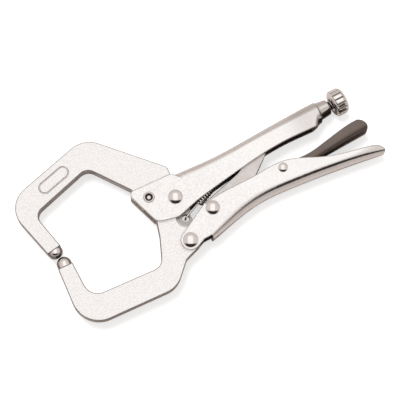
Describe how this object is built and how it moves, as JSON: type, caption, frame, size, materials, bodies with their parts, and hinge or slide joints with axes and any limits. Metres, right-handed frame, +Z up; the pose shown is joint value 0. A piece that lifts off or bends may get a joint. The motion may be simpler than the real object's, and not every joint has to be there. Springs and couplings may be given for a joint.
{
  "type": "locking c-clamp pliers",
  "caption": "Locking C-clamp pliers: two C-shaped jaws with domed tips, channel handles, a toggle link, an adjusting screw and a release lever.",
  "frame": {"origin": "on the main pivot's axis, in the plane that the rivet heads rest on when the pliers lie flat", "axes": "+X along the adjusting screw towards its knob, +Y towards the fixed jaw, +Z up off the table"},
  "size_m": [0.1695, 0.0819, 0.0141],
  "materials": {
    "handle_plate": "satin nickel plate on folded sheet steel",
    "jaw_plate": "fine-grained matt nickel plate on forged steel",
    "bright_plate": "bright nickel plate",
    "dull_rivet": "dull nickel plate",
    "dark_lever": "dark grey-brown satin coating on folded sheet steel",
    "screw_steel": "machined steel thread",
    "spring_wire": "spring steel wire"
  },
  "bodies": {
    "upper_frame": {"upper_handle": "handle_plate", "upper_jaw": "jaw_plate", "upper_jaw_tip": "bright_plate", "upper_jaw_rivet": "dull_rivet", "main_pivot_rivet": "bright_plate", "tension_spring": "spring_wire"},
    "lower_jaw": {"lower_jaw": "jaw_plate", "lower_jaw_tip": "bright_plate"},
    "lower_handle": {"lower_handle": "handle_plate", "jaw_lever_rivet": "bright_plate", "toggle_rivet": "bright_plate", "release_lever_rivet": "bright_plate"},
    "toggle_link": {"toggle_link": "jaw_plate"},
    "release_lever": {"release_lever": "dark_lever"},
    "adjusting_screw": {"adjusting_screw": "screw_steel"},
    "adjusting_knob": {"adjusting_knob": "bright_plate"}
  },
  "joints": [
    {"name": "lower_jaw_turn", "type": "hinge", "parent": "upper_frame", "child": "lower_jaw", "pos_m": [0, 0, 0.00705], "axis": [0, 0, 1], "range_deg": [0, 25], "deforming": ["tension_spring"]},
    {"name": "lower_handle_turn", "type": "hinge", "parent": "lower_jaw", "child": "lower_handle", "pos_m": [-0.0033, -0.0214, 0.00705], "axis": [0, 0, 1], "range_deg": [-78, 0]},
    {"name": "toggle_link_turn", "type": "hinge", "parent": "lower_handle", "child": "toggle_link", "pos_m": [0.0131, -0.0126, 0.00705], "axis": [0, 0, 1], "range_deg": [0, 85]},
    {"name": "release_lever_press", "type": "hinge", "parent": "lower_handle", "child": "release_lever", "pos_m": [0.0516, -0.0109, 0.00705], "axis": [0, 0, 1], "range_deg": [-5, 0]},
    {"name": "screw_travel", "type": "slide", "parent": "upper_frame", "child": "adjusting_screw", "axis": [1, 0, 0], "range_m": [0, 0.012]},
    {"name": "knob_turn", "type": "hinge", "parent": "adjusting_screw", "child": "adjusting_knob", "pos_m": [0.0916, 0.0062, 0.00705], "axis": [1, 0, 0], "range_deg": [0, 3456]}
  ],
  "couplings": [
    {"joint": "lower_handle_turn", "follows": "lower_jaw_turn", "ratio": -3.12},
    {"joint": "toggle_link_turn", "follows": "lower_jaw_turn", "ratio": 3.4},
    {"joint": "screw_travel", "follows": "knob_turn", "m_per_rad": 0.00019894}
  ]
}
